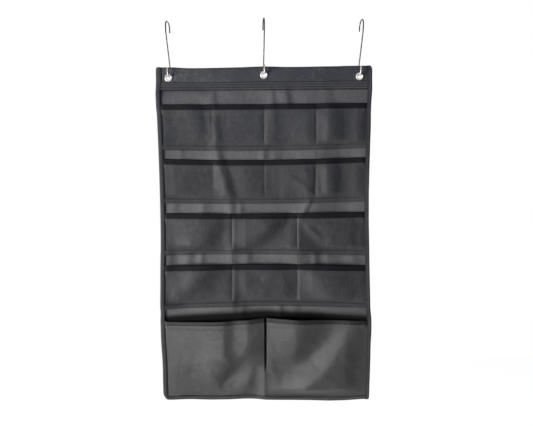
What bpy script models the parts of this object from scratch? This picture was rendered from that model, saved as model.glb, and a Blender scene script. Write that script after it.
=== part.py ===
"""Hanging pocket organiser for a tent, caravan or camp kitchen.

A woven fabric panel hangs from three wire S-hooks through eyelets in its top hem. Four rows of
mesh pockets and two large gaping fabric pockets are sewn to its front.
Metres, +Z up, the pockets face -Y. The origin is where a rail carries the centre hook.
"""

import math

import bmesh
import bpy
from mathutils import Vector

# Overall size of the sewn panel, over its edge bindings
WIDTH = 0.500
HEIGHT = 0.800

# Cloth thicknesses, and the gap left between touching layers
PANEL_THICK = 0.0012
POCKET_THICK = 0.0008
TAPE_THICK = 0.0008
GAP = 0.0003

# Edge binding and how far a sewn piece is tucked under it
BINDING_WIDTH = 0.0105
TUCK = 0.008

# Top hem and the ribbed tape sewn across it
HEM_HEIGHT = 0.056
HEADER_TAPE_DROP = 0.035
HEADER_TAPE_HEIGHT = 0.0195

# Mesh rows: each row's pockets, and the depth of its rim and foot below the top edge. A row's
# side pockets have a width of their own, from the side binding to the first seam
ROW_POCKETS = (4, 4, 3, 3)
ROW_RIM_DROPS = (0.089, 0.218, 0.345, 0.468)
ROW_FOOT_DROPS = (0.1955, 0.3205, 0.443, 0.569)
SIDE_POCKET_WIDTHS = {4: 0.1175, 3: 0.162}
ROW_BULGE = 0.012
RIM_TAPE_HEIGHT = 0.012
FOOT_TAPE_HEIGHT = 0.012
RIM_SETTLE = 0.012
RIM_RUN_IN = 0.0028
SEAM_MARGIN = 0.003
THREAD_WIDTH = 0.0014
THREAD_THICK = 0.0006

# Large pockets: their rims lie a little lower at the sides than at the middle seam
LARGE_RIM_DROP_SIDE = 0.603
LARGE_RIM_DROP_MIDDLE = 0.597
LARGE_RIM_HEIGHT = 0.010
LARGE_BULGE = 0.024
LARGE_MIDDLE_MARGIN = 0.005

# Eyelets, turned from thin sheet: a domed flange in front, a barrel, and a roll over a washer
EYELET_INSET = 0.0267
EYELET_DROP_SIDE = 0.025
EYELET_DROP_CENTRE = 0.020
EYELET_BORE_R = 0.005
EYELET_WALL = 0.0007
EYELET_FLANGE_R = 0.00875
EYELET_DOME = 0.0014
WASHER_THICK = 0.0006
EYELET_ROLL_R = 0.0074
ROLL_THICK = 0.0008
ROUND_STEPS = 18

# S-hooks bent from wire: lower loop through the eyelet, sloping shank, upper loop over a rail
WIRE = 0.003
HOOK_LENGTH = 0.130
HOOK_LOWER_R = 0.010
HOOK_UPPER_R = 0.013
HOOK_LEG = 0.019
HOOK_TIP = 0.009
HOOK_KINK_DROP = 0.029
HOOK_SEAT = 0.0011
ARC_STEP = math.radians(15)

# How each hook stands in its eyelet: lean to the side, and turn about the upright
HOOK_STANCES = {
    "left": (math.radians(-1.5), math.radians(-7)),
    "centre": (0.0, math.radians(8)),
    "right": (math.radians(2), math.radians(8)),
}

# Worked-out places
HOOK_RISE = HOOK_LENGTH - WIRE
WIRE_BELOW_TOP = EYELET_BORE_R - HOOK_SEAT - WIRE / 2
CENTRE_EYELET_Z = WIRE / 2 - HOOK_RISE - WIRE_BELOW_TOP
TOP = CENTRE_EYELET_Z + EYELET_DROP_CENTRE
BOTTOM = TOP - HEIGHT
WRAP = TAPE_THICK + GAP
PANEL_HALF = WIDTH / 2 - WRAP
PANEL_FACE = PANEL_THICK / 2
POCKET_MID = PANEL_FACE + GAP + POCKET_THICK / 2
POCKET_FACE = POCKET_MID + POCKET_THICK / 2
TAPE_MID = POCKET_FACE + GAP + TAPE_THICK / 2
BINDING_FACE = TAPE_MID + TAPE_THICK / 2
BINDING_INNER = WIDTH / 2 - BINDING_WIDTH
SEWN_HALF = BINDING_INNER + TUCK
SEWN_BOTTOM = BOTTOM + BINDING_WIDTH - TUCK
RIM_WRAP = POCKET_THICK / 2 + GAP + TAPE_THICK / 2
RIM_STANDOFF = RIM_WRAP + (TAPE_THICK - POCKET_THICK) / 2 + GAP
RIM_END = BINDING_INNER - RIM_RUN_IN
EYELET_REACH = WIDTH / 2 - EYELET_INSET

EYELETS = {
    "left": (-EYELET_REACH, TOP - EYELET_DROP_SIDE),
    "centre": (0.0, TOP - EYELET_DROP_CENTRE),
    "right": (EYELET_REACH, TOP - EYELET_DROP_SIDE),
}

# Shares of a pocket's width and of its height at which its cloth is shaped, closer by its seams
ROW_SHARES = (0.0, 0.07, 0.24, 0.5, 0.76, 0.93, 1.0)
ROW_LEVELS = (0.12, 0.4, 1.0)
LARGE_SHARES = (0.0, 0.04, 0.12, 0.22, 0.36, 0.5, 0.64, 0.78, 0.88, 0.96, 1.0)
LARGE_LEVELS = (0.06, 0.2, 0.42, 0.7, 1.0)

# Powers of the sines that shape a pocket: the smaller, the fuller by its seams and by its foot
FULLNESS_ACROSS = 0.6
FULLNESS_UP = 0.8

# Shares of the eyelet's wall, dome and roll that round its edges
EDGE_WALL_SHARE = 0.4
EDGE_DOME_SHARE = 0.8

CUTTER_DEPTH = 0.020
MERGE_DISTANCE = 0.00001


def clear_scene():
    for obj in list(bpy.data.objects):
        bpy.data.objects.remove(obj, do_unlink=True)


def new_collection(name):
    collection = bpy.data.collections.new(name)
    bpy.context.scene.collection.children.link(collection)
    return collection


def new_material(name, colour, roughness, metallic=0.0):
    material = bpy.data.materials.new(name)
    material.use_nodes = True
    shader = material.node_tree.nodes["Principled BSDF"]
    shader.inputs["Base Color"].default_value = (*colour, 1.0)
    shader.inputs["Roughness"].default_value = roughness
    shader.inputs["Metallic"].default_value = metallic
    material.diffuse_color = (*colour, 1.0)
    return material


def add_object(name, data, collection, material):
    obj = bpy.data.objects.new(name, data)
    if material is not None:
        data.materials.append(material)
    collection.objects.link(obj)
    return obj


def sheet(name, columns, rows, place, thickness, collection, material):
    """Cloth of columns by rows faces. place(column, row) puts each corner of its middle surface."""
    bm = bmesh.new()
    bmesh.ops.create_grid(bm, x_segments=columns, y_segments=rows, size=0.5)
    for vert in bm.verts:
        column = round((vert.co.x + 0.5) * columns)
        row = round((vert.co.y + 0.5) * rows)
        vert.co = place(column, row)
    mesh = bpy.data.meshes.new(name)
    bm.to_mesh(mesh)
    bm.free()
    obj = add_object(name, mesh, collection, material)
    solidify = obj.modifiers.new("thickness", "SOLIDIFY")
    solidify.thickness = thickness
    solidify.offset = 0.0
    solidify.use_even_offset = True
    return obj


def box(name, low, high, collection, material):
    """Flat piece between two corners."""
    low, high = Vector(low), Vector(high)
    bm = bmesh.new()
    bmesh.ops.create_cube(bm, size=1.0)
    for vert in bm.verts:
        vert.co = [(low[i] + high[i]) / 2 + vert.co[i] * (high[i] - low[i]) for i in range(3)]
    mesh = bpy.data.meshes.new(name)
    bm.to_mesh(mesh)
    bm.free()
    return add_object(name, mesh, collection, material)


def folded(name, fold_line, end_line, face, thickness, collection, material):
    """Cloth folded over an edge: a front leaf, the fold and a back leaf, from a line of (x, z)
    points along the fold to one along the leaves' free edges."""

    def place(column, row):
        x, z = fold_line[column] if row in (1, 2) else end_line[column]
        return Vector((x, -face if row < 2 else face, z))

    return sheet(name, len(fold_line) - 1, 3, place, thickness, collection, material)


def punch(obj, holes, radius, cutters):
    """Round holes through cloth, along Y, at (x, z) places."""
    for number, (x, z) in enumerate(holes):
        bm = bmesh.new()
        bmesh.ops.create_cone(
            bm, cap_ends=True, segments=ROUND_STEPS, radius1=radius, radius2=radius, depth=CUTTER_DEPTH
        )
        mesh = bpy.data.meshes.new(f"{obj.name}_hole_{number}")
        bm.to_mesh(mesh)
        bm.free()
        cutter = add_object(mesh.name, mesh, cutters, None)
        cutter.location = (x, 0.0, z)
        cutter.rotation_euler = (math.pi / 2, 0.0, 0.0)
        cutter.hide_render = True
        cutter.display_type = "WIRE"
        cut = obj.modifiers.new("hole", "BOOLEAN")
        cut.operation = "DIFFERENCE"
        cut.solver = "EXACT"
        cut.object = cutter


def offset_plan(points, distance):
    """Moves a line of (x, y) points sideways, towards -Y, keeping its distance at the corners."""
    points = [Vector(point) for point in points]
    ways = [after - before for before, after in zip(points, points[1:])]
    normals = [Vector((way.y, -way.x)).normalized() for way in ways]
    moved = []
    for point, first, second in zip(points, normals[:1] + normals, normals + normals[-1:]):
        middle = (first + second).normalized()
        moved.append(point + middle * distance / middle.dot(first))
    return moved


def pocket_stations(left, right, shares):
    """(x, share of the bulge) across one pocket, from seam to seam."""
    return [
        (left + (right - left) * share, math.sin(math.pi * share) ** FULLNESS_ACROSS if 0 < share < 1 else 0.0)
        for share in shares
    ]


class Pocketing:
    """Cloth sewn to the panel along its foot and its seams, standing forward in between.

    stations are (x, share of the bulge, share of the rim's standoff) from left to right, and
    rim is the height of the top edge at a given x.
    """

    def __init__(self, stations, rim, rim_height, foot, sewn_top, bulge, levels):
        self.stations = stations
        self.rim = rim
        self.rim_height = rim_height
        self.foot = foot
        self.sewn_top = sewn_top
        self.bulge = bulge
        self.levels = levels

    def forward(self, station, bulge_share, standoff_share):
        x, across, standoff = station
        return POCKET_MID + RIM_STANDOFF * standoff * standoff_share + self.bulge * across * bulge_share

    def rows(self, x):
        """(z, share of the bulge, share of the standoff) from the foot up to the rim."""
        under_rim = self.rim(x) - self.rim_height
        rows = [(self.foot, 0.0, 0.0), (self.sewn_top, 0.0, 0.0)]
        for level in self.levels:
            z = self.sewn_top + level * (under_rim - RIM_SETTLE - self.sewn_top)
            rise = (z - self.sewn_top) / (under_rim - self.sewn_top)
            rows.append((z, math.sin(math.pi / 2 * rise) ** FULLNESS_UP, 0.0))
        rows += [(under_rim, 1.0, 1.0), (self.rim(x), 1.0, 1.0)]
        return rows

    def cloth(self, name, collection, material):
        def place(column, row):
            station = self.stations[column]
            z, bulge_share, standoff_share = self.rows(station[0])[row]
            return Vector((station[0], -self.forward(station, bulge_share, standoff_share), z))

        rows = len(self.rows(0.0)) - 1
        return sheet(name, len(self.stations) - 1, rows, place, POCKET_THICK, collection, material)

    def rim_tape(self, name, collection, material):
        """Tape folded over the rim, where the cloth stands off the panel."""
        stations = [s for s in self.stations if s[2] == 1.0]
        plan = [(s[0], -self.forward(s, 1.0, 1.0)) for s in stations]
        front = offset_plan(plan, RIM_WRAP)
        back = offset_plan(plan, -RIM_WRAP)

        def place(column, row):
            line = front if row < 2 else back
            rim = self.rim(stations[column][0])
            z = rim + GAP + TAPE_THICK / 2 if row in (1, 2) else rim - self.rim_height + GAP
            return Vector((line[column].x, line[column].y, z))

        return sheet(name, len(stations) - 1, 3, place, TAPE_THICK, collection, material)

    def thread(self, x):
        """Places of the stitching that runs up a seam at x, in front of the cloth."""
        rows = self.rows(x)[1:-1]
        rows[0] = (rows[0][0] + GAP, *rows[0][1:])
        rows[-1] = (rows[-1][0] - GAP, *rows[-1][1:])
        out = POCKET_MID + POCKET_THICK / 2 + GAP + THREAD_THICK / 2
        return [(out + RIM_STANDOFF * standoff, z) for z, _, standoff in rows]


def stitching(name, x, places, collection, material):
    """Thread running up a seam at x, through its (forward, z) places."""

    def place(column, row):
        forward, z = places[row]
        return Vector((x + (column - 0.5) * THREAD_WIDTH, -forward, z))

    return sheet(name, 1, len(places) - 1, place, THREAD_THICK, collection, material)


def row_seams(pockets):
    """Places of the seams of a row: its side pockets' seams, and any others evenly between them."""
    first = BINDING_INNER - SIDE_POCKET_WIDTHS[pockets]
    return [first * (2 * i / (pockets - 2) - 1) for i in range(pockets - 1)]


def row_stations(seams):
    """Stations across a whole mesh row: tucked ends, and pockets between narrow sewn margins."""
    margins = [x for seam in seams for x in (seam - SEAM_MARGIN / 2, seam + SEAM_MARGIN / 2)]
    edges = [-RIM_END, *margins, RIM_END]
    middle = []
    for left, right in zip(edges[::2], edges[1::2]):
        middle += [(x, share, 1.0) for x, share in pocket_stations(left, right, ROW_SHARES)]
    tucked = [(-SEWN_HALF, 0.0, 0.0), (-BINDING_INNER + GAP, 0.0, 0.0)]
    return tucked + middle + [(-x, share, standoff) for x, share, standoff in reversed(tucked)]


def large_stations(side):
    """Stations across one large pocket, from the left. side is -1 for the left one."""
    pocket = pocket_stations(LARGE_MIDDLE_MARGIN, RIM_END, LARGE_SHARES)
    stations = [(GAP, 0.0, 1.0)] + [(x, share, 1.0) for x, share in pocket]
    stations += [(BINDING_INNER - GAP, 0.0, 0.0), (SEWN_HALF, 0.0, 0.0)]
    if side > 0:
        return stations
    return [(-x, share, standoff) for x, share, standoff in reversed(stations)]


def large_rim(x):
    share = min(abs(x) / BINDING_INNER, 1.0)
    return TOP - LARGE_RIM_DROP_MIDDLE - share * (LARGE_RIM_DROP_SIDE - LARGE_RIM_DROP_MIDDLE)


def turned(name, profile, x, z, collection, material):
    """Ring turned about an axis along Y. The profile is (radius, distance in front of the panel),
    down its outer side from the front and back up its bore."""
    bm = bmesh.new()
    verts = [bm.verts.new((radius, 0.0, forward)) for radius, forward in profile]
    for i, vert in enumerate(verts):
        bm.edges.new((vert, verts[(i + 1) % len(verts)]))
    mesh = bpy.data.meshes.new(name)
    bm.to_mesh(mesh)
    bm.free()
    obj = add_object(name, mesh, collection, material)
    obj.location = (x, 0.0, z)
    obj.rotation_euler = (math.pi / 2, 0.0, 0.0)
    screw = obj.modifiers.new("turn", "SCREW")
    screw.steps = screw.render_steps = ROUND_STEPS
    screw.use_merge_vertices = True
    screw.merge_threshold = MERGE_DISTANCE
    screw.use_smooth_shade = True
    return obj


def eyelet_profile():
    flange = POCKET_FACE + GAP
    barrel_r = EYELET_BORE_R + EYELET_WALL
    roll = flange + WASHER_THICK + GAP
    half_dome = EYELET_DOME / 2
    lip_r = EYELET_BORE_R + EDGE_WALL_SHARE * EYELET_WALL
    return [
        (lip_r, flange + EDGE_DOME_SHARE * EYELET_DOME),
        ((EYELET_BORE_R + EYELET_FLANGE_R) / 2, flange + EYELET_DOME),
        (EYELET_FLANGE_R - half_dome, flange + EDGE_DOME_SHARE * EYELET_DOME),
        (EYELET_FLANGE_R, flange + half_dome),
        (EYELET_FLANGE_R, flange),
        (barrel_r, flange),
        (barrel_r, -roll),
        (EYELET_ROLL_R, -roll),
        (EYELET_ROLL_R - ROLL_THICK / 4, -roll - ROLL_THICK / 2),
        ((EYELET_BORE_R + EYELET_ROLL_R) / 2, -roll - ROLL_THICK),
        (lip_r, -roll - EDGE_DOME_SHARE * ROLL_THICK),
        (EYELET_BORE_R, -roll),
        (EYELET_BORE_R, flange + half_dome),
    ]


def washer_profile():
    near = POCKET_FACE + GAP
    bore = EYELET_BORE_R + EYELET_WALL + GAP
    return [
        (bore, -near),
        (EYELET_FLANGE_R, -near),
        (EYELET_FLANGE_R, -near - WASHER_THICK),
        (bore, -near - WASHER_THICK),
    ]


def arc(centre, radius, start, end):
    steps = math.ceil(abs(end - start) / ARC_STEP)
    angles = [start + (end - start) * i / steps for i in range(steps + 1)]
    return [(centre[0] + radius * math.cos(a), centre[1] + radius * math.sin(a)) for a in angles]


def hook_path():
    """(back, up) points of the wire's middle, from the lower loop's free leg to the upper tip."""
    seat = WIRE_BELOW_TOP
    lower = (0.0, seat + HOOK_LOWER_R)
    upper = (0.0, seat + HOOK_RISE - HOOK_UPPER_R)
    kink = (-HOOK_UPPER_R, seat + HOOK_RISE - HOOK_KINK_DROP)
    away = (kink[0] - lower[0], kink[1] - lower[1])
    leave = math.atan2(away[1], away[0]) - math.acos(HOOK_LOWER_R / math.hypot(*away))
    path = [(-HOOK_LOWER_R, seat + HOOK_LEG)]
    path += arc(lower, HOOK_LOWER_R, math.pi, 2 * math.pi + leave)
    path += [kink]
    path += arc(upper, HOOK_UPPER_R, math.pi, 0.0)
    path += [(HOOK_UPPER_R, upper[1] - HOOK_TIP)]
    return path


def hook(name, x, z, lean, turn, collection, material):
    """S-hook whose origin is the middle of its eyelet's bore, about which it swings sideways."""
    curve = bpy.data.curves.new(name, "CURVE")
    curve.dimensions = "3D"
    curve.bevel_depth = WIRE / 2
    curve.bevel_resolution = 2
    curve.use_fill_caps = True
    path = hook_path()
    spline = curve.splines.new("POLY")
    spline.points.add(len(path) - 1)
    for point, (back, up) in zip(spline.points, path):
        point.co = (0.0, back, up, 1.0)
    spline.use_smooth = True
    obj = add_object(name, curve, collection, material)
    obj.location = (x, 0.0, z)
    obj.rotation_euler = (0.0, lean, turn)
    return obj


def make_panel(parts, cutters, cloth, tape):
    """Back panel, its hem and the tape across it, and the bindings round its other edges."""
    holes = list(EYELETS.values())
    hole_r = EYELET_BORE_R + EYELET_WALL + GAP
    panel = box(
        "back_panel",
        (-PANEL_HALF, -PANEL_FACE, BOTTOM + WRAP),
        (PANEL_HALF, PANEL_FACE, TOP - WRAP),
        parts,
        cloth,
    )
    punch(panel, holes, hole_r, cutters)

    fold = TOP - TAPE_THICK / 2
    ends = (-SEWN_HALF, SEWN_HALF)
    hem = folded(
        "top_hem",
        [(x, fold) for x in ends],
        [(x, TOP - HEM_HEIGHT) for x in ends],
        POCKET_MID,
        POCKET_THICK,
        parts,
        cloth,
    )
    punch(hem, holes, hole_r, cutters)

    header_face = POCKET_FACE + GAP
    header_top = TOP - HEADER_TAPE_DROP
    box(
        "header_tape",
        (-BINDING_INNER + GAP, -header_face - THREAD_THICK, header_top - HEADER_TAPE_HEIGHT),
        (BINDING_INNER - GAP, -header_face, header_top),
        parts,
        tape,
    )

    for name, side in (("binding_left", -1), ("binding_right", 1)):
        outer = side * (WIDTH / 2 - TAPE_THICK / 2)
        inner = side * BINDING_INNER
        folded(
            name,
            [(outer, BOTTOM), (outer, TOP)],
            [(inner, BOTTOM), (inner, TOP)],
            TAPE_MID,
            TAPE_THICK,
            parts,
            tape,
        )
    ends = (-BINDING_INNER + GAP, BINDING_INNER - GAP)
    folded(
        "binding_bottom",
        [(x, BOTTOM + TAPE_THICK / 2) for x in ends],
        [(x, BOTTOM + BINDING_WIDTH) for x in ends],
        TAPE_MID,
        TAPE_THICK,
        parts,
        tape,
    )


def make_mesh_rows(parts, net, rim_tape, tape, thread):
    rows = zip(ROW_POCKETS, ROW_RIM_DROPS, ROW_FOOT_DROPS)
    for number, (pockets, rim_drop, foot_drop) in enumerate(rows, 1):
        seams = row_seams(pockets)
        foot = TOP - foot_drop
        row = Pocketing(
            stations=row_stations(seams),
            rim=lambda x, z=TOP - rim_drop: z,
            rim_height=RIM_TAPE_HEIGHT,
            foot=foot,
            sewn_top=foot + FOOT_TAPE_HEIGHT,
            bulge=ROW_BULGE,
            levels=ROW_LEVELS,
        )
        row.cloth(f"mesh_row_{number}", parts, net)
        row.rim_tape(f"rim_tape_row_{number}", parts, rim_tape)
        box(
            f"foot_tape_row_{number}",
            (-BINDING_INNER + GAP, -BINDING_FACE, foot),
            (BINDING_INNER - GAP, -POCKET_FACE - GAP, foot + FOOT_TAPE_HEIGHT - GAP),
            parts,
            tape,
        )
        for seam, x in enumerate(seams, 1):
            stitching(f"stitching_row_{number}_seam_{seam}", x, row.thread(x), parts, thread)


def make_large_pockets(parts, cloth, thread):
    for name, side in (("left", -1), ("right", 1)):
        pocket = Pocketing(
            stations=large_stations(side),
            rim=large_rim,
            rim_height=LARGE_RIM_HEIGHT,
            foot=SEWN_BOTTOM,
            sewn_top=BOTTOM + BINDING_WIDTH + GAP,
            bulge=LARGE_BULGE,
            levels=LARGE_LEVELS,
        )
        pocket.cloth(f"large_pocket_{name}", parts, cloth)
        pocket.rim_tape(f"large_rim_{name}", parts, cloth)
        x = side * LARGE_MIDDLE_MARGIN / 2
        stitching(f"stitching_large_{name}", x, pocket.thread(x), parts, thread)


def make_hardware(parts, eyelet_metal, wire_metal):
    for name, (x, z) in EYELETS.items():
        turned(f"eyelet_{name}", eyelet_profile(), x, z, parts, eyelet_metal)
        turned(f"eyelet_washer_{name}", washer_profile(), x, z, parts, eyelet_metal)
        lean, turn = HOOK_STANCES[name]
        hook(f"hook_{name}", x, z, lean, turn, parts, wire_metal)


def main():
    clear_scene()
    parts = new_collection("hanging_pocket_organiser")
    cutters = new_collection("cutters")
    cloth = new_material("woven_cloth", (0.082, 0.082, 0.092), 0.62)
    net = new_material("mesh_net", (0.062, 0.062, 0.070), 0.70)
    rim_tape = new_material("rim_tape", (0.020, 0.020, 0.026), 0.75)
    tape = new_material("binding_tape", (0.050, 0.050, 0.056), 0.70)
    thread = new_material("sewing_thread", (0.050, 0.050, 0.055), 0.60)
    eyelet_metal = new_material("nickel_plate", (0.80, 0.79, 0.76), 0.22, 1.0)
    wire_metal = new_material("bright_wire", (0.72, 0.72, 0.73), 0.18, 1.0)
    make_panel(parts, cutters, cloth, tape)
    make_mesh_rows(parts, net, rim_tape, tape, thread)
    make_large_pockets(parts, cloth, thread)
    make_hardware(parts, eyelet_metal, wire_metal)


if __name__ == "__main__":
    main()
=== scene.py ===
"""A hanging pocket organiser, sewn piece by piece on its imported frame, and the studio it hangs in."""

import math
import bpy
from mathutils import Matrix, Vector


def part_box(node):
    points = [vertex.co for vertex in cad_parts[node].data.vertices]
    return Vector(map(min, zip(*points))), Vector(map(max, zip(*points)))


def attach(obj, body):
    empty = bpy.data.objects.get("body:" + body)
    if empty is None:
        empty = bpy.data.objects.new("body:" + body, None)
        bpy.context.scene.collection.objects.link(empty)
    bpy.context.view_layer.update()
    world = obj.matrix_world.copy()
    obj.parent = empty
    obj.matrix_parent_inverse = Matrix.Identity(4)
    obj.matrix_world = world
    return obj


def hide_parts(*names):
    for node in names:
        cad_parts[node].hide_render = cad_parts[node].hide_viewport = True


bl_info = {
    "name": "Hanging pocket organiser",
    "version": (1, 0, 0),
    "blender": (4, 5, 0),
    "location": "3D View > Sidebar > Organiser",
    "description": "Sews a hanging pocket organiser on its frame, finishes it and lights it",
    "category": "Object",
}

from collections import namedtuple

import bpy
import numpy as np
from bpy.props import FloatProperty, FloatVectorProperty, PointerProperty
from mathutils import Matrix, Vector, noise

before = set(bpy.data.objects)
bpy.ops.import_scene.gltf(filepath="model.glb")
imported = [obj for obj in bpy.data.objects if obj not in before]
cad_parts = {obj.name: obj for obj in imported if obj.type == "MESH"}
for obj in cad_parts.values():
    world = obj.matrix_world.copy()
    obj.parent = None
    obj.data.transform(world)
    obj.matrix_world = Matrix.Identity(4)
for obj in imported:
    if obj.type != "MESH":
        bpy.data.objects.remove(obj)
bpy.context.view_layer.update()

# Places of the flat organiser, as its frame has them
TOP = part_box("top_hem")[1].z
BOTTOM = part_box("binding_bottom")[0].z
HALF_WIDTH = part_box("binding_right")[1].x
BINDING_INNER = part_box("binding_right")[0].x
BINDING_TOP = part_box("binding_bottom")[1].z
HEM_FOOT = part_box("top_hem")[0].z
SEWN_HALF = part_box("top_hem")[1].x
PANEL_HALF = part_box("back_panel")[1].x
EYELETS = {side: sum(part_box(f"eyelet_{side}"), Vector()) / 2 for side in ("left", "centre", "right")}

# Painted shade lines along the header tape, as (drop, (width, darkness)), standing in for the shade
# of its ribs and the shadow along its lower edge; a negative darkness paints a lighter line, a
# painted highlight
HEADER_SHADE_LINES = (
    (0.0357, (0.0016, 0.65)), (0.0385, (0.0012, -0.30)), (0.0415, (0.0014, 0.45)), (0.0448, (0.0012, -0.20)),
    (0.0480, (0.0014, 0.45)), (0.0515, (0.0016, -0.35)), (0.0541, (0.0016, 0.80)),
)

# Thickness of each layer and the gap that lies between two
PANEL_THICK = 0.0012
CLOTH_THICK = 0.0008
NET_THICK = 0.0005
TAPE_THICK = 0.0008
GAP = 0.0003
CLOTH_FRONT = PANEL_THICK / 2 + GAP + CLOTH_THICK / 2
TAPE_FRONT = CLOTH_FRONT + CLOTH_THICK / 2 + GAP + TAPE_THICK / 2
RIM_WRAP = CLOTH_THICK / 2 + GAP + TAPE_THICK / 2
RIM_STANDOFF = RIM_WRAP + GAP
TAPE_TOP = TAPE_THICK + GAP
TAPE_FACE = TAPE_FRONT + TAPE_THICK / 2
RIM_FACE = CLOTH_FRONT + RIM_WRAP + TAPE_THICK / 2
HEADER_THICK = 0.0006

# Radius of the holes that the eyelets go through
EYELET_HOLE = 0.0060

# How far in from the edges of their tapes the stitches run, and how far the seams of the rows run up
# over their rims
BINDING_STITCH_IN = 0.0022
STITCH_START = 0.002
HEADER_STITCH_IN = 0.0010
FOOT_STITCHES_IN = (0.0015, 0.0020)
RIM_STITCH_IN = 0.0018
SEAM_OVER_RIM = 0.0004

# Squares that the parts are modelled in, points of a fold's round, columns about a seam and
# columns beside the slit between the large pockets
FOLD_CELL = 0.004
FOLD_POINTS = 9
BINDING_CELL = 0.005
NET_CELL = 0.003
TAPE_CELL = 0.003
HEADER_CELL = 0.0026
POCKET_CELL = 0.0028
SEAM_COLUMNS = (-0.004, -0.0015, 0.0, 0.0015, 0.004)
SLIT_COLUMNS = (GAP, 0.0012, 0.0022, 0.0034, 0.005)

# Drop below which the panel is painted black behind the large pockets, a painted shadow in their mouths
MOUTH_SHADE_DROP = 0.572

# Half widths that the hung cloth draws in and spreads to, by the drop below its top edge
LEFT_OUTLINE = (
    (0.0, 0.2545), (0.020, 0.2590), (0.040, 0.2580), (0.060, 0.2550), (0.085, 0.2535), (0.145, 0.2521),
    (0.200, 0.2508), (0.300, 0.2494), (0.393, 0.2500), (0.441, 0.2508), (0.489, 0.2513),
    (0.553, 0.2527), (0.602, 0.2534), (0.657, 0.2529), (0.705, 0.2507), (0.753, 0.2504),
    (0.800, 0.2503),
)
RIGHT_OUTLINE = (
    (0.0, 0.2535), (0.020, 0.2575), (0.040, 0.2565), (0.060, 0.2538), (0.085, 0.2512), (0.152, 0.2502),
    (0.196, 0.2487), (0.314, 0.2467), (0.393, 0.2484), (0.441, 0.2496), (0.489, 0.2508),
    (0.555, 0.2526), (0.600, 0.2535), (0.629, 0.2538), (0.657, 0.2524), (0.703, 0.2514),
    (0.800, 0.2498),
)

# How far the hung cloth rides up at its left, middle and right, by the drop below its top edge
RISE_PLACES = (-0.19, 0.0, 0.19)
RISES = (
    (0.000, (0.0, 0.0, 0.0)),
    (0.089, (0.0, 0.0, 0.0005)),
    (0.218, (0.0011, -0.0011, 0.0023)),
    (0.345, (0.0005, -0.0006, 0.0011)),
    (0.468, (-0.0001, 0.0009, -0.0025)),
    (0.563, (-0.0036, 0.0006, -0.0034)),
    (0.600, (-0.0006, 0.0007, 0.0002)),
    (0.800, (0.0, 0.0, 0.0)),
)

# How the top and foot edges wave up and down, by the place across, and how deep each wave reaches
TOP_EDGE = (
    (-0.250, -0.0006), (-0.223, -0.0010), (-0.190, -0.0023), (-0.145, -0.0027), (-0.098, -0.0022),
    (-0.052, -0.0014), (-0.015, -0.0008), (0.028, -0.0012), (0.063, -0.0016), (0.110, -0.0013),
    (0.156, -0.0010), (0.190, -0.0003), (0.250, -0.0004),
)
FOOT_EDGE = (
    (-0.250, 0.0010), (-0.190, 0.0020), (-0.145, 0.0002), (-0.090, 0.0008), (-0.050, 0.0020),
    (-0.015, 0.0014), (0.025, 0.0), (0.060, -0.0012), (0.110, -0.0022), (0.155, -0.0026),
    (0.190, -0.0008), (0.238, 0.0031), (0.250, 0.0036),
)
TOP_EDGE_DEPTH = 0.07
FOOT_EDGE_DEPTH = 0.12

# Radius of each soft corner of the hung panel, by its side and end
CORNERS = {(-1, 1): 0.004, (1, 1): 0.008, (-1, -1): 0.020, (1, -1): 0.003}

# Radius round each eyelet in which the cloth stays flat, the distance over which it comes free
# beyond it, and the share of its change of width that stays there
EYELET_CALM = 0.010
EYELET_FADE = 0.045
EYELET_STRETCH = 0.15

# Broad waves of the hung panel, as (share of the billow, waves per metre across, waves per metre
# down, start), those of its side edges, as (share, length, start), the drop at which they all set
# in and the drop over which they grow
WAVES = ((0.6, 2.1, 0.7, 0.12), (0.4, 4.3, -1.3, 0.55))
EDGE_WAVES = (0.3, 0.26, 0.2)
WAVES_START = 0.02
WAVES_GROWTH = 0.15

# Small unevenness of all cloth, as (share of the crumple, size, layer of the noise)
CRUMPLES = ((1.0, 0.055, 1.0), (0.35, 0.021, 4.0))

# A soft fold along a line. Its ridge runs through (x, drop) points, top end first. Widths to the
# left and to the right of the ridge and its lift are one number, or one for each point, and its
# form goes from 1 for a sharp ridge to 2 for a round one. Folds are in millimetres.
Fold = namedtuple("Fold", "ridge left right lift form", defaults=(2.0,))


# Folds that run through every layer
BODY_FOLDS = [
    Fold(((-122, 135), (-111, 205)), 14, 13, 2.4),
    Fold(
        ((-110, 212), (-103, 232), (-84, 302), (-82, 346)), (20, 20, 20, 9), (11, 13, 13, 8),
        (1.6, 2.4, 2.4, 1.6),
    ),
    Fold(((126, 120), (126, 335)), 50, 44, 5.6),
    Fold(((243, 95), (243, 335)), 40, 20, 3.6),
    Fold(((79, 350), (79, 434), (80, 480)), (16, 46, 20), (20, 60, 20), (2.4, 11.0, 1.8), 1.5),
    Fold(((-77, 352), (-77, 428)), 16, 32, 3.2),
    Fold(((-77, 430), (-77, 485), (-77, 572)), (16, 22, 44), 12, (1.6, 2.4, 3.4), 1.5),
    Fold(((2, 738), (2, 790)), 20, 84, 6.0),
    Fold(((-250, 600), (-250, 700), (-250, 790)), 20, 70, (6.5, 6.5, 4.0)),
    Fold(((250, 600), (250, 700), (250, 790)), 84, 20, (10.0, 11.0, 7.0)),
    Fold(((-248, 104), (-248, 430), (-248, 484), (-248, 556)), 20, (30, 30, 36, 36), (2.7, 2.9, 8.0, 8.0)),
    Fold(((-246, 62), (-246, 92)), 20, 120, 5.0),
    Fold(((-146, 60), (-128, 84)), 12, 9, 0.9),
    Fold(((-118, 66), (-116, 88)), 14, 6, 2.0),
    Fold(((105, 320), (92, 344)), 9, 6, 2.4),
]

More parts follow.
